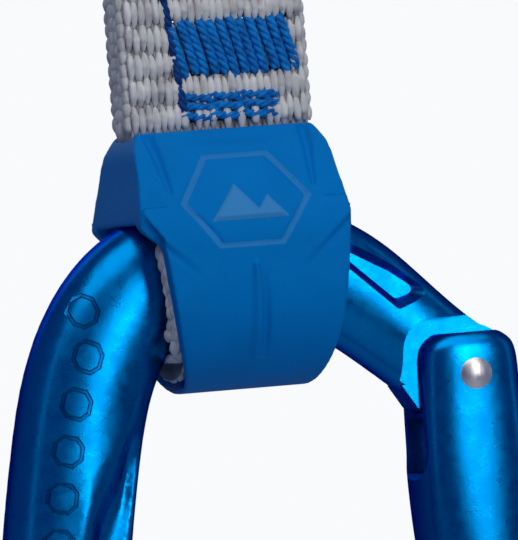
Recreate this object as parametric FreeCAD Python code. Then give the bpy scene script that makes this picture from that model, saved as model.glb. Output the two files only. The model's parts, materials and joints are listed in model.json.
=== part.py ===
import FreeCAD, Part

# Climbing quickdraw: two keylock carabiners joined by a sewn webbing sling.
#
# Millimetres, +Z up, the draw hanging. The origin is the hanger seat, the highest point inside
# the upper carabiner's basket, where a bolt hanger bears. X runs across the carabiners towards
# their gates, and the front of the draw faces -Y.
#
# Each carabiner is drawn in its own plane (x, h). h = 0 is the sling seat, the inner face of the
# small end, and h grows towards the basket: upwards in the upper carabiner, downwards in the
# lower one. Gates are drawn about their rivet, with t along the gate.

import math
import os

Vector = FreeCAD.Vector
X_AXIS = Vector(1, 0, 0)
Y_AXIS = Vector(0, 1, 0)
Z_AXIS = Vector(0, 0, 1)

# --- carabiner body ------------------------------------------------------------------------
pivot_x = 20.4  # the gate rivet's axis
pivot_h = 6.0
gate_reach = 50.8  # rivet axis to the gate's tip
gate_lean = 10.4  # degrees that the line from rivet to tip leans away from the spine
spine_x = -17.8  # the spine's centreline where it bows out most
basket_rise = 23.8346  # gate's tip to the centreline at the deepest point of the basket
small_depth = 10.4  # in-plane depth of the bar at the sling's end
spine_depth = 11.0
basket_depth = 10.6
tip_depth = 9.4
bar_thick = 8.6
scoop_depth = 1.8
pocket_depth = 1.5
pocket_draft = 0.85
pocket_round = 0.6

# --- gate ----------------------------------------------------------------------------------
gate_proud = 0.2  # how far the gate's faces stand outside the bar's
ear_top = 3.6  # gate's rounded end above the rivet's axis
ear_inner = 4.4  # rivet's axis to the ears' inner edge
notch_radius = 7.0
notch_end = 6.0  # rivet's axis to the notch cutter's centre
gate_half = 5.0
gate_tip_half = 4.65
gate_crown = 2.0  # rounding of the gate's hinge end
bent_gate_bow = 3.2  # how far the bent gate bows in from the line between rivet and tip
tang_thick = 4.4
hinge_gap = 0.12  # each side of the tang
cam_flat = 3.6  # rivet's axis to the flat that the plunger bears on
cam_length = 3.7
tang_corner_x = 4.73
tang_corner_h = 2.63
tang_radius = 4.35
slot_floor = 8.3  # rivet's axis to the bottom of the gate's slot
recess_left = 6.2
recess_top = 5.0
recess_corner = 2.6
gate_open = 25.0  # degrees, full travel

# --- rivet, plunger and spring -------------------------------------------------------------
rivet_radius = 1.25
head_step = 0.37  # how far the heads reach beyond the shank
head_dome = 0.5
running_gap = 0.05
bore_offset = 1.2  # the plunger's axis, from the rivet towards the spine
plunger_radius = 1.3
plunger_length = 8.0
spigot_radius = 0.75
spigot_length = 4.0
spring_length = 10.5
spring_radius = 1.04  # to the wire's middle
wire_radius = 0.18
spring_turns = 8.5

# --- keylock nose --------------------------------------------------------------------------
end_gap = 0.3  # between the gate's tip and the body
key_gap = 0.15
key_neck_half = 1.3
key_head_half = 2.5
key_neck = 2.8
key_head = 2.4
key_wall = 1.9  # gate wall on the spine's side of the key
key_cover = 0.7  # key's outer end inside the gate's outer face

# --- sling ---------------------------------------------------------------------------------
sling_length = 120.0
tape_half = 7.8
tape_thick = 2.2
tape_half_low = tape_half - 1.8  # half width where the tape turns under the lower carabiner
tape_half_high = tape_half - 1.5  # half width where it turns over the upper one
ply_gap = 0.2  # half the gap between the plies
seat_gap = 0.4
loop_power = 2.6  # 2 turns the tape in an ellipse, more in a squarer bend
lower_loop_slack = 0.75  # between the bar's faces and the tape beside them
lower_loop_neck = 16.4  # sling seat to where the plies meet
upper_loop_slack = 4.1
upper_loop_neck = 27.0

# --- keeper, measured up from the lower carabiner's sling seat --------------------------------
keeper_top = 16.5
keeper_foot = -5.8
keeper_wall = 1.8
keeper_gap = 0.12
collar_foot = 9.9  # the closed collar's lower lip
rim_bevel = 0.9
keeper_margins = {keeper_top: -0.1, 15.0: 0.7, 12.6: 0.95, collar_foot: 1.2, 7.5: 1.1,
                  2.3: 0.5, -2.0: -0.2, keeper_foot: -1.4}  # beyond the tape's edges
emblem_up = 10.3
emblem_radius = 5.7
emblem_tall = 0.8  # its height as a share of its width
emblem_stroke = 0.45
emblem_depth = 0.25

# --- stitching, as (x from, x to, from the neck, to the neck), and label ----------------------
thread = 0.35  # thickness of the stitches on the tape's faces
stitch_web = 0.5
wide_tack = (4.0 - tape_half, tape_half - 0.9, 4.7, 9.7)
narrow_tack = (4.4 - tape_half, tape_half - 2.8, 0.8, 3.3)
side_run = (2.8 - tape_half, 3.5 - tape_half, 1.6, 13.6)
middle_tack = (2.8 - tape_half, tape_half - 2.8, -2.5, 2.5)
label_half = tape_half - 0.1
label_from = 5.0  # from the lower loop's neck
label_length = 30.0
label_thick = 0.3

SECTION_POINTS = 28
END_SECTIONS = 20  # round the small end, where the bar bends tightest
BODY_SECTIONS = 22  # from there to the nose
LOOP_STATIONS = 4  # each side of the middle, over a little more than the tape's width

# sizes and positions that follow from these
gate_thick = bar_thick + 2 * gate_proud
head_radius = rivet_radius + head_step
lower_loop_half = bar_thick / 2 + lower_loop_slack
upper_loop_half = bar_thick / 2 + upper_loop_slack
basket_h = pivot_h + gate_reach * math.cos(math.radians(gate_lean)) + basket_rise
inner_length = basket_h - basket_depth / 2
upper_seat_z = -inner_length


# ------------------------------------------------------------------------------- small helpers
def ease(low, high, value):
    """0 below low, 1 above high and smooth between."""
    t = min(1.0, max(0.0, (value - low) / (high - low)))
    return t * t * (3 - 2 * t)


def steps(low, high, count):
    return [low + (high - low) * k / (count - 1) for k in range(count)]


def turned(shape, degrees, axis=Y_AXIS, centre=Vector(0, 0, 0)):
    copy = shape.copy()
    copy.rotate(centre, axis, degrees)
    return copy


def moved(shape, x=0.0, y=0.0, z=0.0):
    copy = shape.copy()
    copy.translate(Vector(x, y, z))
    return copy


def polygon(points, y=0.0):
    corners = [Vector(x, y, h) for x, h in points]
    return Part.makePolygon(corners + [corners[0]])


def slab(points, y_half):
    """An (x, h) outline made solid between -y_half and y_half."""
    face = Part.Face(polygon(points, -y_half))
    return face.extrude(Vector(0, 2 * y_half, 0))


def box(x_low, x_high, y_low, y_high, z_low, z_high):
    size = (x_high - x_low, y_high - y_low, z_high - z_low)
    return Part.makeBox(*size, Vector(x_low, y_low, z_low))


def across(x, z, radius, y_low, y_high):
    """A cylinder along Y."""
    return Part.makeCylinder(radius, y_high - y_low, Vector(x, y_low, z), Y_AXIS)


def upright(x, z_low, z_high, radius):
    return Part.makeCylinder(radius, z_high - z_low, Vector(x, 0, z_low))


def smooth_ring(points):
    """A closed smooth wire through the points."""
    curve = Part.BSplineCurve()
    curve.interpolate(Points=points, PeriodicFlag=True)
    return Part.Wire(curve.toShape())


def largest(shape):
    return max(shape.Solids, key=lambda solid: solid.Volume)


def superellipse(half_x, half_y, power_in, power_out, count=SECTION_POINTS):
    """(x, y) points round an oval, squarer for a higher power; out is the +x side."""
    points = []
    for k in range(count):
        angle = 2 * math.pi * (k + 0.5) / count
        c, s = math.cos(angle), math.sin(angle)
        power = power_out if c > 0 else power_in
        x = math.copysign(abs(c) ** (2 / power), c) * half_x
        y = math.copysign(abs(s) ** (2 / power), s) * half_y
        points.append((x, y))
    return points


# ------------------------------------------------------------------------------ carabiner body
def tip_point(radius):
    lean = math.radians(gate_lean)
    return pivot_x + radius * math.sin(lean), pivot_h + radius * math.cos(lean)


def centreline():
    """The bar's centreline from rivet to nose as a curve of (x, in-plane depth, h)."""
    tip_x, tip_h = tip_point(gate_reach - 1.0)
    small_h = -small_depth / 2
    stations = [
        (pivot_x, 2 * tang_radius, pivot_h),
        (pivot_x - 5.9, 9.1, pivot_h - 4.9),
        (8.9, 10.0, small_h + 2.0),
        (0.6, small_depth, small_h),
        (-7.2, small_depth + 0.4, small_h + 1.7),
        (-12.5, spine_depth, small_h + 8.8),
        (spine_x + 3.5, spine_depth, small_h + 15.4),
        (spine_x + 2.1, spine_depth, small_h + 23.2),
        (spine_x + 0.5, spine_depth - 0.2, small_h + 37.0),
        (spine_x, spine_depth - 0.5, basket_h - 33.0),
        (spine_x + 1.3, spine_depth - 0.5, basket_h - 19.5),
        (spine_x + 6.4, basket_depth, basket_h - 7.6),
        (spine_x + 15.0, basket_depth, basket_h - 0.9),
        (spine_x + 24.6, basket_depth, basket_h),
        (tip_x - 11.4, basket_depth - 0.5, basket_h - 3.6),
        (tip_x - 2.9, tip_depth + 0.3, basket_h - 10.4),
        (tip_x + 0.8, tip_depth, tip_h + 6.4),
        (tip_x, tip_depth, tip_h),
    ]
    curve = Part.BSplineCurve()
    curve.interpolate([Vector(*station) for station in stations])
    return curve


def bar_point(curve, u, out, y=0.0):
    """A point beside the centreline, at a distance out from the carabiner's inside."""
    p = curve.value(u)
    d = curve.getD1(u)[1]
    length = math.hypot(d.x, d.z)
    return Vector(p.x - d.z / length * out, y, p.z + d.x / length * out)


def bar_section(curve, u):
    """A cross-section of the bar: an oval, with its inner half scooped out along the spine."""
    p = curve.value(u)
    on_spine = 1 - ease(-10.0, 0.0, p.x)
    on_basket = ease(basket_h - 24, basket_h - 8, p.z)
    power_out = 2.9 - 0.5 * on_basket - 0.5 * on_spine
    scoop = on_spine * ease(-2, 24, p.z) * (1 - ease(basket_h - 38, basket_h - 12, p.z))
    ridge = 0.85 * scoop - 1.0
    floor = bar_thick / 2 - scoop_depth * min(1.0, 2.5 * scoop)
    points = []
    for n, y in superellipse(1.0, bar_thick / 2, 2.3, power_out):
        below = 1 - ease(ridge - 0.13, ridge + 0.13, n)
        depth = abs(y) + (min(abs(y), floor) - abs(y)) * below
        points.append(bar_point(curve, u, n * p.y / 2, math.copysign(depth, y)))
    return smooth_ring(points)


def inner_edge(x):
    """h of the small end's inner edge at x."""
    curve = centreline()
    best = None
    for u in steps(curve.FirstParameter, curve.parameter(Vector(spine_x, spine_depth, 30)), 400):
        p = bar_point(curve, u, -curve.value(u).y / 2)
        if best is None or abs(p.x - x) < abs(best.x - x):
            best = p
    return best.z


def stem_frame(shape, lean):
    """A shape drawn about the rivet, with t upwards, set on the body with its stem leaning."""
    return moved(turned(shape, lean), pivot_x, 0, pivot_h)


def recess():
    """What the gate's ears swing in on each face of the body, leaving the tang."""
    corner = (pivot_x - recess_left + recess_corner, pivot_h - recess_top + recess_corner)
    left, top = pivot_x - recess_left, pivot_h - recess_top
    right, low = pivot_x + 12, pivot_h + 12
    shape = box(corner[0], right, tang_thick / 2, bar_thick, top, low)
    shape = shape.fuse(box(left, right, tang_thick / 2, bar_thick, corner[1], low))
    shape = shape.fuse(across(*corner, recess_corner, tang_thick / 2, bar_thick))
    return shape.fuse(turned(shape, 180, Z_AXIS, Vector(pivot_x, 0, 0)).mirror(
        Vector(pivot_x, 0, 0), X_AXIS))


def pocket():
    """A lightening pocket with sloping walls and rounded corners in the front of the small
    end."""
    rim = [(-2, -8.8), (4, -8.4), (10.05, -6.3), (14.2, -4.0), (17.9, -1.2),
           (14.0, 0.1), (9.85, -3.7), (4, -6.0), (-2, -6.7)]
    middle_x = sum(x for x, h in rim) / len(rim)
    floor = []
    for k, (x, h) in enumerate(rim):
        (x0, h0), (x1, h1) = rim[k - 1], rim[(k + 1) % len(rim)]
        before, after = math.atan2(h - h0, x - x0), math.atan2(h1 - h, x1 - x)
        half_turn = ((after - before + math.pi) % (2 * math.pi) - math.pi) / 2
        inward = before + half_turn + math.pi / 2
        reach = pocket_draft / max(0.5, math.cos(half_turn))
        floor.append((x + reach * math.cos(inward), h + reach * math.sin(inward)))
    top = polygon(rim, -bar_thick / 2 - 0.05)
    bottom = polygon(floor, -bar_thick / 2 + pocket_depth)
    hollow = Part.makeLoft([top, bottom], True, True)
    corners = [edge for edge in hollow.Edges if edge.BoundBox.YLength > pocket_depth]
    sharp = [edge for edge in corners if any(
        edge.BoundBox.Center.distanceToPoint(Vector(x, edge.BoundBox.Center.y, h)) < 1.5
        for x, h in (rim[4], rim[5]))]
    return hollow.makeFillet(pocket_round, sharp)


def both_faces(shape):
    return shape.fuse(shape.mirror(Vector(0, 0, 0), Y_AXIS))


def key(grow, start, end):
    """The keylock nose, a T swept about the rivet between two angles from the gate's line."""
    top = gate_reach + end_gap
    neck, head = key_neck_half + grow, key_head_half + grow
    neck_from = gate_reach - key_neck + grow
    head_to = gate_reach - key_neck - key_head - grow
    rows = [(neck, top + 1.5), (neck, neck_from), (head, neck_from), (head, head_to)]
    corners = [Vector(0, y, r) for y, r in rows] + [Vector(0, -y, r) for y, r in reversed(rows)]
    face = Part.Face(Part.makePolygon(corners + [corners[0]]))
    return turned(face.revolve(Vector(0, 0, 0), Y_AXIS, end - start), start)


def angle_at_tip(x):
    return math.degrees(x / gate_reach)


def body_blank():
    """The forged bar with its recess, pockets and nose, before the tang is shaped."""
    curve = centreline()
    straight = curve.parameter(Vector(spine_x + 3.5, spine_depth, 15.4 - small_depth / 2))
    span = steps(curve.FirstParameter, straight, END_SECTIONS)
    span += steps(straight, curve.LastParameter, BODY_SECTIONS)[1:]
    body = Part.makeLoft([bar_section(curve, u) for u in span], True, False)
    body = body.cut(recess()).cut(both_faces(pocket()))
    swept = across(pivot_x, pivot_h, gate_reach + end_gap, -bar_thick, bar_thick)
    tip_x, tip_h = tip_point(gate_reach)
    room = box(tip_x - 12, tip_x + 12, -bar_thick, bar_thick, tip_h - 8, tip_h + 8)
    body = body.cut(swept.common(room))
    nose = key(0.0, angle_at_tip(key_wall + key_gap - gate_tip_half),
               angle_at_tip(gate_tip_half - key_cover))
    return largest(body.fuse(stem_frame(nose, gate_lean)))


def carabiner_body(blank, stem_lean):
    """A body with its tang shaped for a gate whose bore leans by stem_lean."""
    half = tang_thick / 2
    half_flat = math.sqrt(tang_radius ** 2 - cam_flat ** 2)
    cam = slab([(-cam_length, 0), (-cam_length, cam_flat), (half_flat, cam_flat), (0, 0)], half)
    corner = slab([(-6.0, 0.6), (-tang_corner_x, tang_corner_h), (-2.9, cam_flat), (0, 0)], half)
    tang = stem_frame(across(0, 0, tang_radius, -half, half), 0)
    tang = tang.fuse([stem_frame(cam, stem_lean), stem_frame(corner, 0)])
    trim = stem_frame(box(-9, 9, -9, 9, cam_flat, 9), stem_lean)
    bore = across(pivot_x, pivot_h, rivet_radius + running_gap, -9, 9)
    return largest(blank.fuse(tang).cut([trim, bore]))


# ---------------------------------------------------------------------- gate and what it holds
def gate_line(bow):
    """The gate's centreline about its rivet as a curve of (x, half width, t); a bowed gate
    starts along t and then leans out to the nose."""
    lean = math.radians(gate_lean)
    reach_x = gate_reach * math.sin(lean) if bow else 0.0
    reach_t = gate_reach * math.cos(lean) if bow else gate_reach
    rows = [(-ear_top, gate_half - 0.6), (0, gate_half - 0.3), (0.18 * reach_t, gate_half),
            (0.36 * reach_t, gate_half), (0.6 * reach_t, gate_half),
            (0.83 * reach_t, gate_half - 0.2), (reach_t, gate_tip_half)]
    stations = []
    for t, half in rows:
        along = max(0.0, t) / reach_t
        x = reach_x * along - bow * math.sin(math.pi * min(1.0, along * 1.02)) ** 1.1
        stations.append(Vector(x, half, t))
    curve = Part.BSplineCurve()
    curve.interpolate(stations)
    return curve


def gate(bow, stem_lean):
    """A gate, drawn about its rivet with t upwards along its bore."""
    curve = gate_line(bow)
    rings = []
    crown = [gate_crown * (1 - math.cos(a)) for a in steps(0.25, math.pi / 2, 5)]
    lengths = [t - ear_top for t in crown] + steps(0.5, gate_reach + 0.5, 22)
    for t in lengths:
        u = curve.parameter(Vector(0, 5, t))
        p = curve.value(u)
        short = max(0.0, gate_crown - (t + ear_top))
        inset = gate_crown - math.sqrt(max(0.0, gate_crown ** 2 - short ** 2))
        flat = 1 - ease(6, 20, t)
        oval = superellipse(p.y - inset, gate_thick / 2 - inset * 0.6, 2.3 + 1.1 * flat,
                            2.3 + 0.7 * flat)
        rings.append(smooth_ring([Vector(p.x + x, y, t) for x, y in oval]))
    shape = Part.makeLoft(rings, True, False)
    slot_half = tang_thick / 2 + hinge_gap
    left = -2 * gate_half
    notch = box(left, -ear_inner, -9, 9, -9, notch_end)
    notch = notch.fuse(across(-ear_inner - notch_radius, notch_end, notch_radius, -9, 9))
    shape = shape.cut([notch, box(left, 2 * gate_half, -slot_half, slot_half, -9, slot_floor)])
    bore_end = cam_flat + plunger_radius + plunger_length + spring_length
    bore = upright(-bore_offset, slot_floor - 1, bore_end, plunger_radius + running_gap)
    shape = shape.cut([bore, rivet()])
    tip_lean = gate_lean - stem_lean
    swept = Part.makeCylinder(gate_reach, 20, Vector(0, -10, 0), Y_AXIS)
    shape = shape.common(swept)
    keyway = key(key_gap, angle_at_tip(key_wall - gate_tip_half), angle_at_tip(gate_tip_half + 6))
    return largest(shape.cut(turned(keyway, tip_lean)))


def rivet():
    """A rivet through ears and tang, with a domed head let into each ear."""
    half = gate_thick / 2 - 0.15
    shank = across(0, 0, rivet_radius, -half, half)
    dome = (head_radius ** 2 + head_dome ** 2) / (2 * head_dome)
    cap = Part.makeSphere(dome, Vector(0, half + head_dome - dome, 0))
    cap = cap.common(across(0, 0, head_radius, half, half + 2))
    seat = across(0, 0, head_radius, half - 0.5, half)
    head = seat.fuse(cap)
    return largest(shank.fuse([head, head.mirror(Vector(0, 0, 0), Y_AXIS)]).removeSplitter())


def plunger():
    """The round-nosed pin that the spring presses on the tang."""
    nose = cam_flat + plunger_radius
    pin = Part.makeSphere(plunger_radius, Vector(-bore_offset, 0, nose))
    pin = pin.fuse(upright(-bore_offset, nose, nose + plunger_length, plunger_radius))
    foot = nose + plunger_length
    pin = pin.fuse(upright(-bore_offset, foot, foot + spigot_length, spigot_radius))
    return largest(pin.removeSplitter())


def spring():
    """The closing spring, a coil round the plunger's spigot."""
    start = cam_flat + plunger_radius + plunger_length + wire_radius + 0.02
    height = spring_length - 2 * wire_radius - 0.04
    helix = Part.makeHelix(height / spring_turns, height, spring_radius)
    wire = Part.Wire(Part.makeCircle(wire_radius, Vector(spring_radius, 0, 0), Y_AXIS))
    coil = Part.Wire(helix.Edges).makePipeShell([wire], True, True)
    return moved(coil.Solids[0] if coil.Solids else coil, -bore_offset, 0, start)


# -------------------------------------------------------------------------- sling and keeper
# These are drawn with u pointing away from a carabiner's basket, from its sling seat.
def side_profile(half, depth, neck, start, centre, offset=0.0):
    """Half of a loop seen from the side as (y, u) points from its bottom to its neck, moved
    outwards by an offset."""
    points = []
    for angle in steps(0.0, math.pi / 2, 11):
        c, s = math.sin(angle), math.cos(angle)
        y = half * c ** (2 / loop_power)
        u = centre - depth * s ** (2 / loop_power)
        ny = c ** (2 - 2 / loop_power) / half
        nu = -(s ** (2 - 2 / loop_power)) / depth
        length = math.hypot(ny, nu)
        points.append((y + offset * ny / length, u + offset * nu / length))
    for u in steps(centre, neck, 13)[1:]:
        slim = half - ply_gap
        y = half - slim * ease(start, neck, u)
        slope = -slim * (ease(start, neck, u + 0.01) - ease(start, neck, u - 0.01)) / 0.02
        length = math.hypot(1.0, slope)
        points.append((y + offset / length, u - offset * slope / length))
    return points


def side_wire(x, points):
    """A closed wire from half a side profile: both sides in one smooth edge, and the neck."""
    right = [Vector(x, y, u) for y, u in points]
    left = [Vector(x, -y, u) for y, u in reversed(points[1:])]
    curve = Part.BSplineCurve()
    curve.interpolate(left + right)
    return Part.Wire([curve.toShape(), Part.makeLine(right[-1], left[0])])


def lower_loop(offset, extra=0):
    """The space inside the lower loop, moved outwards; its floor follows the bar's arch."""
    wires = []
    count = LOOP_STATIONS + extra
    reach = 1.1 * tape_half * count / LOOP_STATIONS
    for x in steps(-reach, reach, 2 * count + 1):
        clipped = max(-tape_half_low, min(tape_half_low, x))
        depth = small_depth / 2 + seat_gap + inner_edge(clipped)
        wires.append(side_wire(x, side_profile(lower_loop_half, depth, lower_loop_neck,
                                               0.63 * small_depth, small_depth / 2, offset)))
    return Part.makeLoft(wires, True, False)


def upper_loop(offset):
    """The space inside the upper loop, moved outwards; its crown is straight."""
    depth = small_depth / 2 + seat_gap + inner_edge(-tape_half_high)
    points = side_profile(upper_loop_half, depth, upper_loop_neck, small_depth, small_depth / 2,
                          offset)
    face = Part.Face(side_wire(-1.1 * tape_half, points))
    return face.extrude(Vector(2.2 * tape_half, 0, 0))


def width_slab(table, y_half):
    """A smooth front outline of half widths against height, made solid."""
    rows = sorted(table.items())
    right, left = Part.BSplineCurve(), Part.BSplineCurve()
    right.interpolate([Vector(half, -y_half, u) for u, half in rows])
    left.interpolate([Vector(-half, -y_half, u) for u, half in reversed(rows)])
    ends = [right.EndPoint, left.StartPoint, left.EndPoint, right.StartPoint]
    wire = Part.Wire([right.toShape(), Part.makeLine(*ends[:2]), left.toShape(),
                      Part.makeLine(*ends[2:])])
    return Part.Face(wire).extrude(Vector(0, 2 * y_half, 0))


def at_lower(shape):
    return moved(shape, z=lower_seat_z)


def at_upper(shape):
    return moved(turned(shape, 180, X_AXIS), z=upper_seat_z)


def stitches(tack, neck):
    """A band of stitches on both faces, joined through the tape at its ends."""
    x_low, x_high, low, high = tack
    face = ply_gap + tape_thick
    outer = box(x_low, x_high, -face - thread, face + thread, neck + low, neck + high)
    return outer.cut(box(x_low - 1, x_high + 1, -face, face,
                         neck + low + stitch_web, neck + high - stitch_web))


def sling():
    """One ring of tape: a loop at each end and two plies between them."""
    lower_neck_z = lower_seat_z + lower_loop_neck
    upper_neck_z = upper_seat_z - upper_loop_neck
    face = ply_gap + tape_thick
    wide = 1.1 * tape_half
    low = {-12.0: tape_half_low - 0.4, 0.0: tape_half_low, 12.0: tape_half - 0.1,
           lower_loop_neck + 1: tape_half}
    high = {-12.0: tape_half_high, 3.0: tape_half_high + 0.3, 16.0: tape_half_high + 0.6,
            upper_loop_neck + 1: tape_half}
    ring = at_lower(lower_loop(tape_thick).common(width_slab(low, 20)))
    crown = at_upper(upper_loop(tape_thick).common(width_slab(high, 20)))
    plies = box(-tape_half, tape_half, -face, face, lower_neck_z, upper_neck_z)
    slit = box(-wide, wide, -ply_gap, ply_gap, lower_neck_z - 0.5, upper_neck_z + 0.5)
    tape = plies.fuse([ring, crown]).removeSplitter()
    return tape.cut([at_lower(lower_loop(0)), at_upper(upper_loop(0)), slit])


def keeper():
    """A rubber sleeve: a closed collar above the bar, and front and back panels that meet
    under the loop, open at the sides for the bar."""
    def shell(wall):
        half = lower_loop_half + tape_thick + keeper_gap + wall
        depth = small_depth / 2 - keeper_foot - (keeper_wall - wall)
        points = side_profile(lower_loop_half, depth - half + lower_loop_half, lower_loop_neck,
                              0.63 * small_depth, small_depth / 2, half - lower_loop_half)
        points = [p for p in points if p[1] < keeper_top - rim_bevel]
        rim = ply_gap + tape_thick + keeper_gap + wall
        points += [(rim, keeper_top - rim_bevel), (rim - rim_bevel * 0.8, keeper_top)]
        right = [Vector(-12, y, u) for y, u in points[:-2]]
        left = [Vector(-12, -y, u) for y, u in reversed(points[1:-2])]
        curve = Part.BSplineCurve()
        curve.interpolate(left + right)
        ends = [right[-1]] + [Vector(-12, y, u) for y, u in points[-2:]]
        ends += [Vector(-12, -y, u) for y, u in reversed(points[-2:])] + [left[0]]
        wire = Part.Wire([curve.toShape()] + Part.makePolygon(ends).Edges)
        return Part.Face(wire).extrude(Vector(24, 0, 0))

    outer = shell(keeper_wall)
    widths = {u: tape_half + margin for u, margin in keeper_margins.items()}
    sleeve = outer.common(width_slab(widths, 20))
    room = lower_loop(tape_thick + keeper_gap, extra=2)
    above = box(-tape_half - keeper_gap, tape_half + keeper_gap, -20, 20, collar_foot, 30)
    below = box(-12, 12, -20, 20, -20, collar_foot)
    neck = ply_gap + tape_thick + keeper_gap
    slot = box(-tape_half - keeper_gap, tape_half + keeper_gap, -neck, neck,
               lower_loop_neck - 1, keeper_top + 1)
    sleeve = sleeve.cut([room.common(above), room.common(below), slot])
    corners = [math.radians(60 * k) for k in range(6)]
    rings = []
    for radius in (emblem_radius, emblem_radius - emblem_stroke):
        outline = [(radius * math.cos(a), emblem_up + emblem_tall * radius * math.sin(a))
                   for a in corners]
        rings.append(slab(outline, 20))
    groove = rings[0].cut(rings[1]).common(box(-9, 9, -20, 0, 0, 20))
    sleeve = sleeve.cut(groove.common(outer.cut(shell(keeper_wall - emblem_depth))))
    return largest(at_lower(sleeve))


# ------------------------------------------------------------------------------------ the draw
top_of_sling = upper_seat_z + inner_edge(-tape_half_high) + seat_gap + tape_thick
lower_seat_z = top_of_sling - sling_length + tape_thick + seat_gap

nodes = {}
blank = body_blank()
gates = {"upper": (0.0, gate_lean), "lower": (bent_gate_bow, 0.0)}
for end, (bow, stem_lean) in gates.items():
    pieces = {"body": carabiner_body(blank, stem_lean)}
    hung = {"gate": gate(bow, stem_lean), "gate_rivet": rivet(), "gate_plunger": plunger(),
            "gate_spring": spring()}
    pieces.update({name: stem_frame(shape, stem_lean) for name, shape in hung.items()})
    for name, shape in pieces.items():
        if end == "upper":
            nodes["upper_" + name] = moved(shape, z=upper_seat_z)
        else:
            nodes["lower_" + name] = moved(turned(shape, 180, X_AXIS), z=lower_seat_z)

for name, tack in (("wide_tack", wide_tack), ("narrow_tack", narrow_tack), ("side_run", side_run)):
    nodes["lower_" + name] = at_lower(stitches(tack, lower_loop_neck))
    nodes["upper_" + name] = at_upper(stitches(tack, upper_loop_neck))
middle_z = (lower_seat_z + lower_loop_neck + upper_seat_z - upper_loop_neck) / 2
nodes["middle_tack"] = moved(stitches(middle_tack, 0.0), z=middle_z)
stitching = [shape for name, shape in nodes.items() if "tack" in name or "run" in name]

label_low = lower_seat_z + lower_loop_neck + label_from
label = box(-label_half, label_half, -label_thick / 2, label_thick / 2,
            label_low, label_low + label_length)
nodes["label"] = label.cut(stitching)
nodes["sling_webbing"] = sling().cut(stitching)
nodes["keeper"] = keeper()

os.makedirs("parts", exist_ok=True)
for name, shape in nodes.items():
    shape.exportStep(os.path.join("parts", name + ".step"))
    print(name, shape.isValid(), len(shape.Solids), round(shape.Volume, 2))
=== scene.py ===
import json
import math
import random
import bpy
from mathutils import Matrix, Vector
from mathutils.bvhtree import BVHTree


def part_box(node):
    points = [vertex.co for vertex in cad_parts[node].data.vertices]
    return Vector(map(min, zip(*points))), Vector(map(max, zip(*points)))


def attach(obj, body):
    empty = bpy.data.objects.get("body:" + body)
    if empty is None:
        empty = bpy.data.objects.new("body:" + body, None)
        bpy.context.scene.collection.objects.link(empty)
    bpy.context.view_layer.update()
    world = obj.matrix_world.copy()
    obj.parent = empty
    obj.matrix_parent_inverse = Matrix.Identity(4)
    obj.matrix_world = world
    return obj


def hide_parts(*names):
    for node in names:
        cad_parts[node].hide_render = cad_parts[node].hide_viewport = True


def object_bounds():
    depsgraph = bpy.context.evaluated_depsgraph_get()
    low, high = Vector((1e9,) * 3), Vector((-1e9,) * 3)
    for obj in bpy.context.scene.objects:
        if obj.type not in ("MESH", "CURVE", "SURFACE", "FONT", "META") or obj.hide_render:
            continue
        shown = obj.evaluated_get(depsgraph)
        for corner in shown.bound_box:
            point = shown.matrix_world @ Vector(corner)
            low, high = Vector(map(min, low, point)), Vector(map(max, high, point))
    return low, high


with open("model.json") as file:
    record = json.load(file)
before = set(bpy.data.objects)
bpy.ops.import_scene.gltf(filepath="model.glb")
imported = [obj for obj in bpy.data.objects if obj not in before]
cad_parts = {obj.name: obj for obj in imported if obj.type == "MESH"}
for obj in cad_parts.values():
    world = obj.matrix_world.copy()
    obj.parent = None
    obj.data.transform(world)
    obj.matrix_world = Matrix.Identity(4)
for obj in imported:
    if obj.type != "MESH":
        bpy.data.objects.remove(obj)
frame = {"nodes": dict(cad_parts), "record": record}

CAD_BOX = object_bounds()
MM = 0.001
random.seed(7)

record = frame["record"]
joint_at = {j["name"]: Vector(j["pos_m"]) for j in record["behaviour"]["joints"] if "pos_m" in j}
LOW_SEAT = joint_at["lower_carabiner_nod"].z - 2.0 * MM   # the lower carabiner's sling seat
UP_SEAT = joint_at["sling_swing"].z + 5.2 * MM            # the upper carabiner's sling seat


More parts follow.
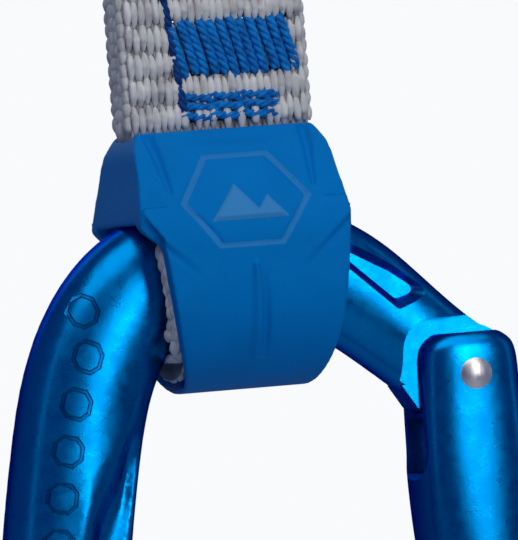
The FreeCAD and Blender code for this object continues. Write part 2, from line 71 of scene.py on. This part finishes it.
# ------------------------------------------------------------------------------ materials
class Nodes:
    """A short way to build a node material."""

    def __init__(self, name):
        self.material = bpy.data.materials.new(name)
        self.material.use_nodes = True
        self.tree = self.material.node_tree
        self.tree.nodes.clear()
        self.shader = self.add("ShaderNodeBsdfPrincipled")
        out = self.add("ShaderNodeOutputMaterial")
        self.tree.links.new(self.shader.outputs[0], out.inputs[0])
        self.coords = self.add("ShaderNodeTexCoord").outputs["Object"]

    def add(self, kind, **settings):
        node = self.tree.nodes.new(kind)
        for key, value in settings.items():
            setattr(node, key, value)
        return node

    def put(self, socket, value):
        if isinstance(value, bpy.types.NodeSocket):
            self.tree.links.new(value, socket)
        else:
            socket.default_value = value

    def math(self, operation, a, b=0.0, c=0.0, clamp=False):
        node = self.add("ShaderNodeMath", operation=operation, use_clamp=clamp)
        for socket, value in zip(node.inputs, (a, b, c)):
            self.put(socket, value)
        return node.outputs[0]

    def noise(self, scale, detail=3.0, stretch=(1, 1, 1), rough=0.5):
        mapping = self.add("ShaderNodeMapping")
        self.put(mapping.inputs["Vector"], self.coords)
        mapping.inputs["Scale"].default_value = stretch
        node = self.add("ShaderNodeTexNoise")
        self.put(node.inputs["Vector"], mapping.outputs[0])
        node.inputs["Scale"].default_value = scale
        node.inputs["Detail"].default_value = detail
        node.inputs["Roughness"].default_value = rough
        return node.outputs["Fac"]

    def ramp(self, value, low, high, to_low=0.0, to_high=1.0):
        node = self.add("ShaderNodeMapRange", clamp=True)
        for socket, v in zip(node.inputs, (value, low, high, to_low, to_high)):
            self.put(socket, v)
        return node.outputs[0]

    def mix(self, factor, a, b):
        node = self.add("ShaderNodeMix", data_type="RGBA")
        self.put(node.inputs[0], factor)
        self.put(node.inputs[6], a)
        self.put(node.inputs[7], b)
        return node.outputs[2]

    def split(self):
        node = self.add("ShaderNodeSeparateXYZ")
        self.put(node.inputs[0], self.coords)
        return node.outputs

    def bump(self, height, distance, strength=1.0, normal=None):
        node = self.add("ShaderNodeBump")
        self.put(node.inputs["Height"], height)
        node.inputs["Distance"].default_value = distance
        node.inputs["Strength"].default_value = strength
        if normal is not None:
            self.put(node.inputs["Normal"], normal)
        return node.outputs[0]

    def set(self, **values):
        for key, value in values.items():
            self.put(self.shader.inputs[key.replace("_", " ")], value)
        return self.material


def rgb(r, g, b):
    return (r, g, b, 1.0)


def anodised(name, deep, bright, edge, rough=0.29):
    """Tumbled and anodised aluminium: a fine satin grain under a clear dyed skin."""
    n = Nodes(name)
    grain = n.noise(5200, 2.0)
    cloud = n.noise(160, 3.0)
    colour = n.mix(n.ramp(cloud, 0.35, 0.65), deep, bright)
    roughness = n.ramp(n.noise(900, 4.0), 0.3, 0.7, rough - 0.04, rough + 0.05)
    normal = n.bump(grain, 0.00003, 0.22)
    return n.set(Base_Color=colour, Metallic=1.0, Roughness=roughness, Normal=normal,
                 Specular_Tint=edge)


# the spine's centreline is SPINE_X + SPINE_BEND * exp(-h / SPINE_FADE), in millimetres
SPINE_X, SPINE_BEND, SPINE_FADE = -18.1, 7.0, 16.5
MARK_OFFSET, MARK_PITCH, MARK_HALF_X, MARK_HALF_H, MARK_RUN = 1.75, 3.9, 1.2, 1.15, 46.8


def marked_anodised(name, deep, bright, edge, seat, rough=0.29):
    """The same skin, with a row of plain octagonal outlines, shown by bump and tone, down the
    front of the spine."""
    material = anodised(name, deep, bright, edge, rough)
    n = Nodes.__new__(Nodes)
    n.material, n.tree = material, material.node_tree
    n.shader = next(k for k in n.tree.nodes if k.type == "BSDF_PRINCIPLED")
    n.coords = next(k for k in n.tree.nodes if k.type == "TEX_COORD").outputs["Object"]
    x, y, z = n.split()
    h = n.math("MULTIPLY", n.math("ABSOLUTE", n.math("SUBTRACT", z, seat)), 1000.0)
    xmm = n.math("MULTIPLY", x, 1000.0)
    decay = n.math("EXPONENT", n.math("MULTIPLY", h, -1 / SPINE_FADE))
    middle = n.math("MULTIPLY_ADD", decay, SPINE_BEND, SPINE_X)
    slope = n.math("MULTIPLY", decay, -SPINE_BEND / SPINE_FADE)
    across = n.math("ADD", n.math("SUBTRACT", xmm, middle), MARK_OFFSET)
    along = n.math("ADD", h, n.math("MULTIPLY", across, slope))
    cell = n.math("SUBTRACT", n.math("FRACT", n.math("DIVIDE", along, MARK_PITCH)), 0.5)
    side = n.math("SUBTRACT", n.math("ABSOLUTE", across), MARK_HALF_X)
    tall = n.math("SUBTRACT", n.math("MULTIPLY", n.math("ABSOLUTE", cell), MARK_PITCH), MARK_HALF_H)
    corner = n.math("MULTIPLY", n.math("ADD", side, tall), 0.72)
    edge = n.math("MAXIMUM", n.math("MAXIMUM", side, tall), n.math("ADD", corner, 0.45))
    stroke = n.ramp(n.math("ABSOLUTE", edge), 0.10, 0.2, 1.0, 0.0)
    face = n.ramp(n.math("MULTIPLY", y, -1000.0), 2.6, 3.2)
    span = n.math("MULTIPLY", n.ramp(along, -0.2, 0.0), n.ramp(along, MARK_RUN, MARK_RUN + 0.1, 1.0, 0.0))
    mask = n.math("MULTIPLY", n.math("MULTIPLY", stroke, face), span)
    old = n.shader.inputs["Normal"].links[0].from_socket
    n.put(n.shader.inputs["Normal"], n.bump(n.math("MULTIPLY", mask, -1.0), 0.00022, 1.0, old))
    old = n.shader.inputs["Base Color"].links[0].from_socket
    dark = (deep[0] * 0.45, deep[1] * 0.45, deep[2] * 0.55, 1.0)
    n.put(n.shader.inputs["Base Color"], n.mix(n.math("MULTIPLY", mask, 0.75), old, dark))
    return material


def polished_steel(name):
    n = Nodes(name)
    scratch = n.noise(2600, 4.0, (1, 1, 0.2))
    colour = n.mix(n.ramp(n.noise(700, 4.0), 0.35, 0.7), rgb(0.80, 0.74, 0.72), rgb(1.0, 0.96, 0.94))
    rough = n.ramp(scratch, 0.3, 0.7, 0.30, 0.46)
    return n.set(Base_Color=colour, Metallic=1.0, Roughness=rough, Normal=n.bump(scratch, 0.00004, 0.5))


BADGE_UP = 10.3  # badge's middle above the lower sling seat, in millimetres


def rubber(name, seat):
    """Matte moulded rubber with a faint spark-eroded grain and a smooth, glossier badge; the badge's paler
    colour is a painted sheen.
    """
    n = Nodes(name)
    x, y, z = n.split()
    grain = n.noise(6500, 3.0)
    cloud = n.noise(220, 3.0)
    colour = n.mix(n.ramp(cloud, 0.3, 0.7), rgb(0.0, 0.20, 0.58), rgb(0.0, 0.22, 0.64))
    across = n.math("MULTIPLY_ADD", x, 1000.0, -0.1)
    up = n.math("MULTIPLY_ADD", n.math("SUBTRACT", z, seat), 1000.0, -BADGE_UP)
    wide, tall = n.math("ABSOLUTE", across), n.math("DIVIDE", n.math("ABSOLUTE", up), 0.8)
    slope = n.math("ADD", n.math("MULTIPLY", wide, 0.866), n.math("MULTIPLY", tall, 0.5))
    ring = n.math("ABSOLUTE", n.math("SUBTRACT", n.math("MAXIMUM", slope, tall), 4.74))
    ring = n.ramp(ring, 0.20, 0.32, 1.0, 0.0)
    high = n.math("ABSOLUTE", n.math("ADD", across, 0.8))
    low = n.math("ABSOLUTE", n.math("SUBTRACT", across, 1.9))
    tall_peak = n.math("MULTIPLY_ADD", high, -1.25, 1.4)
    short_peak = n.math("MULTIPLY_ADD", low, -1.2, 0.3)
    crest = n.math("MAXIMUM", tall_peak, short_peak)
    peaks = n.math("MULTIPLY", n.ramp(n.math("SUBTRACT", crest, up), -0.05, 0.10), n.ramp(up, -1.75, -1.6))
    front = n.ramp(y, -0.003, -0.0029, 1.0, 0.0)
    badge_and_sheen = n.math("MULTIPLY", n.math("MAXIMUM", n.math("MULTIPLY", ring, 0.55), peaks), front)
    # the badge's paler colour here is a painted sheen; its lower roughness below is real
    colour = n.mix(n.math("MULTIPLY", badge_and_sheen, 0.55), colour, rgb(0.10, 0.36, 0.66))
    rough = n.mix(badge_and_sheen, rgb(0.58, 0.58, 0.58), rgb(0.34, 0.34, 0.34))
    normal = n.bump(n.noise(1500, 4.0), 0.00006, 0.3, n.bump(grain, 0.00003, 0.5))
    return n.set(Base_Color=colour, Roughness=rough, Normal=normal, Specular_IOR_Level=0.22,
                 Specular_Tint=rgb(0.1, 0.6, 1.0))


def fibre(name, dark, light, stretch, tint=None):
    """Bundles of fine filaments running along the stretched axis."""
    n = Nodes(name)
    filament = n.noise(1500, 4.0, stretch, 0.65)
    tone = n.noise(520, 2.0)
    colour = n.mix(n.ramp(filament, 0.3, 0.7), dark, light)
    if tint is not None:
        colour = n.mix(n.ramp(tone, 0.52, 0.72), colour, tint)
    return n.set(Base_Color=colour, Roughness=0.72, Normal=n.bump(filament, 0.00010, 0.8),
                 Specular_IOR_Level=0.25)


def web_core(name):
    """The tape under its face yarns: ribs across and warp along, coloured dark as painted shade, darkest
    in the ribs' hollows.
    """
    n = Nodes(name)
    x, y, z = n.split()
    rib = n.math("ABSOLUTE", n.math("SINE", n.math("MULTIPLY", z, 1396.0)))
    warp = n.math("ABSOLUTE", n.math("SINE", n.math("MULTIPLY", x, 5067.0)))
    height = n.math("MULTIPLY", n.math("POWER", rib, 0.5), warp)
    # painted shade: the tape shows dark between the yarns, darkest where the ribs dip
    colour = n.mix(height, rgb(0.10, 0.105, 0.115), rgb(0.46, 0.47, 0.485))
    return n.set(Base_Color=colour, Roughness=0.85, Normal=n.bump(height, 0.0003, 1.0))


BLUES = rgb(0.0, 0.26, 0.66), rgb(0.0, 0.30, 0.74), rgb(0.0, 0.06, 0.50)
GREYS = rgb(0.40, 0.42, 0.45), rgb(0.50, 0.52, 0.55), rgb(0.6, 0.6, 0.62)
blue_body = marked_anodised("blue_anodised_body", *BLUES, LOW_SEAT)
blue_gate = anodised("blue_anodised_gate", *BLUES)
grey_body = marked_anodised("grey_anodised_body", *GREYS, UP_SEAT, 0.4)
grey_gate = anodised("grey_anodised_gate", *GREYS, 0.4)
steel = polished_steel("polished_steel")
keeper_skin = rubber("keeper_rubber", LOW_SEAT)
grey_yarn = fibre("grey_yarn", rgb(0.56, 0.55, 0.51), rgb(0.92, 0.91, 0.87), (1, 1, 0.12),
                  rgb(0.50, 0.46, 0.47))
blue_thread = fibre("blue_thread", rgb(0.0, 0.09, 0.34), rgb(0.0, 0.29, 0.80), (1, 1, 0.5))
navy_thread = fibre("navy_thread", rgb(0.0, 0.02, 0.11), rgb(0.0, 0.08, 0.36), (1, 1, 0.5))
core = web_core("webbing_core_painted_shade")
red_label = fibre("label_weave", rgb(0.10, 0.012, 0.010), rgb(0.42, 0.06, 0.04), (1, 1, 1))

for node, obj in frame["nodes"].items():
    end = node.split("_")[0]
    if node.endswith(("rivet", "plunger", "spring")):
        material = steel
    elif node.endswith("_body"):
        material = blue_body if end == "lower" else grey_body
    elif node.endswith("_gate"):
        material = blue_gate if end == "lower" else grey_gate
    elif node == "label":
        material = red_label
    else:
        continue
    obj.data.materials.clear()
    obj.data.materials.append(material)


# --------------------------------------------------------------------------- mesh helpers
def new_object(name, vertices, faces, material, body, smooth=True):
    mesh = bpy.data.meshes.new(name)
    mesh.from_pydata(vertices, [], faces)
    mesh.materials.append(material)
    if smooth:
        mesh.polygons.foreach_set("use_smooth", [True] * len(mesh.polygons))
    mesh.update()
    obj = bpy.data.objects.new(name, mesh)
    bpy.context.scene.collection.objects.link(obj)
    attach(obj, body)
    return obj


def bvh_of(node):
    mesh = frame["nodes"][node].data
    return BVHTree.FromPolygons([v.co for v in mesh.vertices], [p.vertices for p in mesh.polygons])


class Pile:
    """Many small closed pieces gathered into one mesh."""

    def __init__(self):
        self.vertices, self.faces = [], []

    def tube(self, points, radii, normal, flat=1.0, sides=7, twist=0.0):
        """A tube along points; flat squashes it along the normal."""
        start = len(self.vertices)
        count = len(points)
        for k, (p, r) in enumerate(zip(points, radii)):
            ahead = points[min(k + 1, count - 1)] - points[max(k - 1, 0)]
            ahead.normalize()
            across = ahead.cross(normal).normalized()
            up = across.cross(ahead)
            for s in range(sides):
                a = 2 * math.pi * s / sides + twist * k
                self.vertices.append(p + across * (math.cos(a) * r) + up * (math.sin(a) * r * flat))
        for k in range(count - 1):
            for s in range(sides):
                a, b = start + k * sides + s, start + k * sides + (s + 1) % sides
                self.faces.append((a, b, b + sides, a + sides))
        self.faces.append(tuple(start + s for s in reversed(range(sides))))
        self.faces.append(tuple(start + (count - 1) * sides + s for s in range(sides)))

    def make(self, name, material, body):
        return new_object(name, self.vertices, self.faces, material, body)


def tape_path(tree, x):
    """The tape's outer surface at x, as (point, normal) from the front's middle round the lower
    loop, up the back and round the upper loop, evenly spaced."""
    low_axis = Vector((x, 0, LOW_SEAT + 5.2 * MM))
    up_axis = Vector((x, 0, UP_SEAT - 5.2 * MM))
    low_neck, up_neck = LOW_SEAT + 16.0 * MM, UP_SEAT - 26.5 * MM
    middle = (low_neck + up_neck) / 2
    shots = []
    for side, run in ((-1, (middle, low_neck)), (1, (low_neck, up_neck)), (-1, (up_neck, middle))):
        straight = [run[0] + (run[1] - run[0]) * k / 40 for k in range(41)]
        shots += [(Vector((x, side * 0.03, z)), Vector((0, -side, 0))) for z in straight]
        if side == -1 and run[0] == middle:
            shots += around(low_axis, 1, 0.62)
        elif side == 1:
            shots += around(up_axis, -1, 0.80)
    rail = []
    for origin, direction in shots:
        hit, normal, face, distance = tree.ray_cast(origin, direction)
        if hit is not None and (not rail or (hit - rail[-1][0]).length > 2e-5):
            rail.append((hit, normal))
    return rail


def around(axis, sense, opening):
    """Rays that come in from all round a loop, from its front neck to its back neck."""
    rays = []
    for k in range(1, 90):
        a = math.pi * (-opening + 2 * opening * k / 90)
        away = Vector((0, math.sin(a) * sense, -math.cos(a) * sense))
        rays.append((axis + away * 0.04, -away))
    return rays


def resample(rail, pitch):
    length, out, target = 0.0, [], pitch / 2
    for (p, n), (q, m) in zip(rail, rail[1:] + rail[:1]):
        step = (q - p).length
        if step > 6 * MM:
            continue
        while length + step > target:
            t = (target - length) / step
            out.append((p.lerp(q, t), n.lerp(m, t).normalized()))
            target += pitch
        length += step
    return out


# ------------------------------------------------------------------------------- webbing
COLUMNS, ROW = 25, 2.25 * MM
SHOT_HALF = 5.9                             # the tape's surface is read this far each side, in mm
LOW_HALF, HIGH_HALF, TAPE_HALF = 6.0, 6.5, 7.8   # half widths under, over and between, in mm
YARN, SELVEDGE = 0.375 * MM, 0.60 * MM      # radii of the face and edge yarns
FINE = 9                                    # path samples in one row
tree = bvh_of("sling_webbing")


def half_width(z):
    """The tape's half width at a height."""
    low = min(1.0, max(0.0, (z - LOW_SEAT) / (12 * MM)))
    up = min(1.0, max(0.0, (UP_SEAT - 10 * MM - z) / (18 * MM)))
    if z < (LOW_SEAT + UP_SEAT) / 2:
        return (LOW_HALF + (TAPE_HALF - LOW_HALF) * low) * MM
    return (HIGH_HALF + (TAPE_HALF - HIGH_HALF) * up) * MM


rails = {}
for column in range(COLUMNS):
    share = 2 * (column + 0.5) / COLUMNS - 1
    rails[column] = resample(tape_path(tree, share * SHOT_HALF * MM), ROW / FINE)
count = min(len(r) for r in rails.values())

tacks = {k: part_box(k) for k in ("lower_wide_tack", "lower_narrow_tack", "upper_wide_tack",
                                "upper_narrow_tack", "middle_tack")}


def under_stitches(p):
    for low, high in tacks.values():
        inside_x = low[0] + 0.2 * MM < p.x < high[0] - 0.2 * MM
        if inside_x and low[2] + 0.5 * MM < p.z < high[2] - 0.5 * MM:
            return abs(p.y) < 3.5 * MM
    return False


weave = Pile()
for column in range(COLUMNS):
    share = 2 * (column + 0.5) / COLUMNS - 1
    rail = rails[column]
    for row in range(int(count / FINE)):
        middle = int((row + 0.5 + 0.10 * (column % 2)) * FINE)
        jitter = random.uniform(-0.6, 0.6)
        lean = random.uniform(-0.05, 0.05)
        fat = random.uniform(0.90, 1.12) * YARN
        path, radii, normal = [], [], None
        for k in range(-6, 7):
            t = k / 6
            index = int(round(middle + jitter + t * FINE * 0.60)) % len(rail)
            p, nrm = rail[index]
            width = half_width(p.z)
            x = share * width + lean * t * MM
            bulge = (0.26 * (1 - t * t) - 0.20 * abs(t) ** 3) * MM
            path.append(Vector((x, p.y, p.z)) + nrm * bulge)
            radii.append(fat * max(0.10, math.cos(t * math.pi / 2) ** 0.62))
            normal = nrm if k == 0 else normal
        if any((a - b).length > 1.2 * MM for a, b in zip(path, path[1:])):
            continue
        if under_stitches(path[6]):
            continue
        weave.tube(path, radii, rail[middle % len(rail)][1], flat=0.82, sides=8)
weave_object = weave.make("sling_face_yarns", grey_yarn, "sewn_sling")
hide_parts("sling_webbing")

# the tape itself, a little inside its yarns, coloured dark as painted shade
body_mesh = frame["nodes"]["sling_webbing"].data.copy()
body_mesh.materials.clear()
body_mesh.materials.append(core)
core_object = bpy.data.objects.new("sling_tape_core", body_mesh)
bpy.context.scene.collection.objects.link(core_object)
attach(core_object, "sewn_sling")
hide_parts("sling_webbing")

# selvedges: fat turned yarns down both edges of each ply
selvedge = Pile()
for edge in (-1, 1):
    rail = rails[0 if edge < 0 else COLUMNS - 1]
    for row in range(int(2 * count / FINE)):
        for layer in (0.55, 1.55):
            middle = (row + 0.25 + 0.5 * (layer > 1)) * FINE / 2
            path, radii = [], []
            for k in range(-4, 5):
                t = k / 4
                p, nrm = rail[int(round(middle + t * FINE * 0.42)) % len(rail)]
                x = edge * (half_width(p.z) - 0.12 * MM + 0.22 * MM * (1 - t * t))
                path.append(Vector((x, p.y, p.z)) - nrm * (layer + 0.10 * t) * MM)
                radii.append(SELVEDGE * max(0.2, math.cos(t * math.pi / 2) ** 0.6)
                             * random.uniform(0.95, 1.05))
            if any((a - b).length > 1.2 * MM for a, b in zip(path, path[1:])):
                continue
            selvedge.tube(path, radii, Vector((1, 0, 0)), flat=0.8, sides=8)
selvedge_object = selvedge.make("sling_selvedges", grey_yarn, "sewn_sling")


# ------------------------------------------------------------------------------ stitching
def twisted(pile, start, end, radius, out, bow=0.25, strands=3, turns=None):
    """A twisted sewing thread lying on the tape from start to end, its ends drawn in."""
    length = (end - start).length
    turns = turns or length / (2.1 * MM)
    steps = max(12, int(length / (0.16 * MM)))
    ahead = (end - start).normalized()
    across = ahead.cross(out).normalized()
    for strand in range(strands):
        path, radii = [], []
        for k in range(steps + 1):
            t = k / steps
            a = 2 * math.pi * (turns * t + strand / strands)
            rise = bow * MM * (1 - (2 * t - 1) ** 4) - 0.25 * MM
            centre = start.lerp(end, t) + out * rise
            path.append(centre + across * math.cos(a) * radius * 0.5 + out * math.sin(a) * radius * 0.5)
            radii.append(radius * 0.56)
        pile.tube(path, radii, out, sides=7)


def tack_threads(node, pitch, slant, radius, along_x=False):
    """Threads over both faces of one band of stitching."""
    (x0, y0, z0), (x1, y1, z1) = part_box(node)
    pile = Pile()
    for side, y in ((-1, y0), (1, y1)):
        out = Vector((0, side, 0))
        if along_x:
            rows = 3
            for row in range(rows):
                z = z0 + (z1 - z0) * (row + 0.5) / rows
                x = x0 + (0.0 if row % 2 else -0.3) * MM
                while x < x1 - 0.5 * MM:
                    reach = min(3.4 * MM, x1 + 0.2 * MM - x)
                    start = Vector((x, y - side * 0.15 * MM, z + 0.22 * MM))
                    end = Vector((x + reach, y - side * 0.15 * MM, z - 0.22 * MM))
                    twisted(pile, start, end, radius, out, bow=0.32)
                    x += 2.5 * MM
        else:
            count = max(1, int(round((x1 - x0) / pitch)))
            for k in range(count):
                x = x0 + (x1 - x0) * (k + 0.5) / count + random.uniform(-0.08, 0.08) * MM
                top = z1 - random.uniform(0.0, 0.5) * MM
                start = Vector((x - slant / 2, y - side * 0.2 * MM, top))
                end = Vector((x + slant / 2, y - side * 0.2 * MM, z0 + random.uniform(-0.2, 0.35) * MM))
                twisted(pile, start, end, radius, out, bow=0.38)
    return pile


for end in ("lower", "upper"):
    wide = tack_threads(f"{end}_wide_tack", 0.86 * MM, 1.25 * MM, 0.42 * MM)
    piece = wide.make(f"{end}_wide_tack_threads", blue_thread, "sewn_sling")
    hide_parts(f"{end}_wide_tack")
    narrow = tack_threads(f"{end}_narrow_tack", 0.0, 0.0, 0.36 * MM, along_x=True)
    piece = narrow.make(f"{end}_narrow_tack_threads", blue_thread, "sewn_sling")
    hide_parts(f"{end}_narrow_tack")
    (x0, y0, z0), (x1, y1, z1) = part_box(f"{end}_side_run")
    run = Pile()
    for side, y in ((-1, y0), (1, y1)):
        for k in range(5):
            a, b = k / 5, (k + 1) / 5
            drift = 1.9 * MM
            start = Vector((x1 + drift * (1 - 2 * a) * -0.35 + 0.5 * MM, y, z1 + (z0 - z1) * a))
            finish = Vector((x1 + drift * (1 - 2 * b) * -0.35 + 0.5 * MM, y, z1 + (z0 - z1) * b))
            twisted(run, start, finish, 0.34 * MM, Vector((0, side, 0)), bow=0.3)
    piece = run.make(f"{end}_side_run_threads", navy_thread, "sewn_sling")
    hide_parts(f"{end}_side_run")
piece = tack_threads("middle_tack", 0.86 * MM, 1.1 * MM, 0.42 * MM).make(
    "middle_tack_threads", blue_thread, "sewn_sling")
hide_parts("middle_tack")


# --------------------------------------------------------------------------------- keeper
LIP_DROP = 1.1 * MM  # how far the collar's lip is drawn down over the bar's shoulders
PANEL_TRIM = 1.4 * MM  # how far the panels' spine-side edges are drawn in


def keeper_piece():
    """The moulded keeper: the CAD sleeve remeshed fine and its edges eased, the collar's lip and
    the panels' spine-side edges drawn to shape, then its grooves, creases and peaks."""
    mesh = frame["nodes"]["keeper"].data.copy()
    obj = bpy.data.objects.new("keeper_sleeve", mesh)
    bpy.context.scene.collection.objects.link(obj)
    remesh = obj.modifiers.new("remesh", "REMESH")
    remesh.mode, remesh.voxel_size, remesh.use_smooth_shade = "VOXEL", 0.16 * MM, True
    smooth = obj.modifiers.new("smooth", "SMOOTH")
    smooth.factor, smooth.iterations = 0.6, 9
    baked = bpy.data.meshes.new_from_object(obj.evaluated_get(bpy.context.evaluated_depsgraph_get()))
    obj.modifiers.clear()
    obj.data = baked
    for v in baked.vertices:
        x, up = v.co.x / MM, (v.co.z - LOW_SEAT) / MM
        lip = max(0.0, min(1.0, (abs(x) - 6.6) / 1.6)) * dip(up - 9.9, 4.2) * (abs(v.co.y) < 8.3 * MM)
        below = max(0.0, min(1.0, (9.6 - up) / 2.2)) * max(0.0, min(1.0, (-x - 1.5) / 5.0))
        v.co.x += PANEL_TRIM * below
        v.co.z -= LIP_DROP * lip
        v.co.x += math.copysign(0.25 * MM * lip, x)
    baked.update()
    normals = [v.normal.copy() for v in baked.vertices]
    for v, normal in zip(baked.vertices, normals):
        x, up = v.co.x / MM, (v.co.z - LOW_SEAT) / MM
        outer = -normal.y if v.co.y < 0 else normal.y
        if outer < 0.35 or abs(v.co.y) < 3.0 * MM:
            continue
        v.co += normal * keeper_relief(x, up, v.co.y < 0) * MM * min(1.0, (outer - 0.35) * 4)
    baked.materials.clear()
    baked.materials.append(keeper_skin)
    baked.update()
    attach(obj, "sewn_sling")
    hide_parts("keeper")


def line_distance(x, z, x0, z0, x1, z1):
    dx, dz = x1 - x0, z1 - z0
    t = max(0.0, min(1.0, ((x - x0) * dx + (z - z0) * dz) / (dx * dx + dz * dz)))
    return math.hypot(x - x0 - t * dx, z - z0 - t * dz), t


def dip(distance, width):
    return max(0.0, 1 - (distance / width) ** 2) ** 2


def keeper_relief(x, up, front):
    """How far the keeper's face stands in or out, in millimetres."""
    relief = 0.0
    for side in (-1, 1):
        d, t = line_distance(x, up, side * 6.9, 16.6, side * 6.3, 11.4)
        relief -= 0.50 * dip(d, 0.72 * (1.1 - 0.6 * t)) * (1 - 0.3 * t)
        d, t = line_distance(x, up, side * 9.6, 8.6, side * 4.4, 4.0)
        beyond = max(0.0, (up - 8.6) * 5.2 - (abs(x) - 9.6) * 4.6) / 6.9
        relief -= 0.30 * dip(d, 0.5) * (1 - t) - 0.16 * dip(beyond - 0.5, 0.5) * (1 - t)
    d, t = line_distance(x, up, 0.3, 4.8, 0.3, -3.2)
    relief += 0.42 * dip(d, 0.35 + 0.75 * t * (1.4 - t)) * (1 - t) ** 0.35
    relief -= 0.30 * dip(abs(x - 1.0), 0.55) * dip(t - 0.62, 0.6) * (0.0 < t < 1.0)
    if front:
        relief += badge_relief(x - 0.1, up - BADGE_UP)
    return relief


def badge_relief(x, z):
    """Inside the pressed six-sided ring, a simple raised pair of peaks."""
    peaks = max(2.3 - 1.25 * abs(x + 0.8), 1.2 - 1.2 * abs(x - 1.9)) - 0.9
    solid = max(0.0, min(1.0, (peaks - z) * 3)) * max(0.0, min(1.0, (z + 1.7) * 3))
    return 0.22 * solid


keeper_piece()


# ------------------------------------------------------------- stage, lights and camera
def stage_material(name, colour):
    """A pale floor. The camera sees it mostly as an even glow, and the lights see the colour."""
    n = Nodes(name)
    tone = n.mix(n.noise(3, 2.0), colour, rgb(*[c * 0.985 for c in colour[:3]]))
    glow = n.add("ShaderNodeEmission")
    glow.inputs[0].default_value = rgb(0.86, 0.88, 0.91)
    seen = n.math("MULTIPLY", n.add("ShaderNodeLightPath").outputs["Is Camera Ray"], 0.8)
    blend = n.add("ShaderNodeMixShader")
    out = next(k for k in n.tree.nodes if k.type == "OUTPUT_MATERIAL")
    n.put(blend.inputs[0], seen)
    n.put(blend.inputs[1], n.shader.outputs[0])
    n.put(blend.inputs[2], glow.outputs[0])
    n.put(out.inputs[0], blend.outputs[0])
    return n.set(Base_Color=tone, Roughness=0.9)


FLOOR_DROP, size = 0.25, 2.5
floor_z = CAD_BOX[0][2] - FLOOR_DROP
floor_mesh = bpy.data.meshes.new("floor")
floor_mesh.from_pydata([(-size, -size, floor_z), (size, -size, floor_z), (size, size, floor_z),
                        (-size, size, floor_z)], [], [(0, 1, 2, 3)])
floor_mesh.materials.append(stage_material("pale_floor", rgb(0.56, 0.61, 0.68)))
floor = bpy.data.objects.new("floor", floor_mesh)
bpy.context.scene.collection.objects.link(floor)

# the backdrop is near white to the camera; a dim bluish fill lights the draw
scene = bpy.context.scene
world = bpy.data.worlds.new("studio")
scene.world = world
world.use_nodes = True
tree_w = world.node_tree
tree_w.nodes.clear()
out = tree_w.nodes.new("ShaderNodeOutputWorld")
seen = tree_w.nodes.new("ShaderNodeBackground")
seen.inputs[0].default_value, seen.inputs[1].default_value = (0.94, 0.955, 0.975, 1), 1.0
fill = tree_w.nodes.new("ShaderNodeBackground")
fill.inputs[0].default_value, fill.inputs[1].default_value = (0.22, 0.34, 0.80, 1), 0.20
path = tree_w.nodes.new("ShaderNodeLightPath")
mixer = tree_w.nodes.new("ShaderNodeMixShader")
tree_w.links.new(path.outputs["Is Camera Ray"], mixer.inputs[0])
tree_w.links.new(fill.outputs[0], mixer.inputs[1])
tree_w.links.new(seen.outputs[0], mixer.inputs[2])
tree_w.links.new(mixer.outputs[0], out.inputs[0])
scene.view_settings.view_transform = "Standard"


def softbox(name, azimuth, elevation, distance, width, height, power, target):
    light = bpy.data.lights.new(name, "AREA")
    light.shape, light.size, light.size_y, light.energy = "RECTANGLE", width, height, power
    obj = bpy.data.objects.new(name, light)
    a, e = math.radians(azimuth), math.radians(elevation)
    away = Vector((math.sin(a) * math.cos(e), -math.cos(a) * math.cos(e), math.sin(e)))
    obj.location = target + away * distance
    obj.rotation_euler = away.to_track_quat("Z", "Y").to_euler()
    scene.collection.objects.link(obj)


focus = Vector((0, 0, LOW_SEAT))
softbox("key", 17, 13, 0.75, 0.17, 0.40, 1.35, focus)
softbox("top", -14, 58, 0.7, 0.9, 0.6, 2.0, focus)
softbox("left", -62, 20, 0.8, 0.06, 0.8, 0.10, focus)
softbox("right", 82, 15, 0.8, 0.10, 0.8, 0.15, focus)
softbox("back", 180, 30, 0.9, 0.8, 0.6, 1.0, focus)

AZIMUTH, ROLL, SCALE = math.radians(-16), math.radians(4.5), 11.7 / MM
right = Vector((math.cos(AZIMUTH), math.sin(AZIMUTH), 0))
back = Vector((math.sin(AZIMUTH), -math.cos(AZIMUTH), 0))
aim = Vector((0, 0, LOW_SEAT + 1.9 * MM)) + right * (2.98 * MM) + Vector((0, 0, 2.34 * MM))
up = Vector((0, 0, 1)) * math.cos(ROLL) + right * math.sin(ROLL)
side = right * math.cos(ROLL) - Vector((0, 0, 1)) * math.sin(ROLL)
camera_data = bpy.data.cameras.new("camera")
camera_data.sensor_fit, camera_data.sensor_height, camera_data.sensor_width = "VERTICAL", 36, 36
distance = 0.55
camera_data.lens = 36 * distance / (540 / SCALE)
camera_data.clip_start = 0.01
camera = bpy.data.objects.new("camera", camera_data)
scene.collection.objects.link(camera)
basis = Matrix((side, up, back)).transposed().to_4x4()
camera.matrix_world = Matrix.Translation(aim + back * distance) @ basis
scene.camera = camera
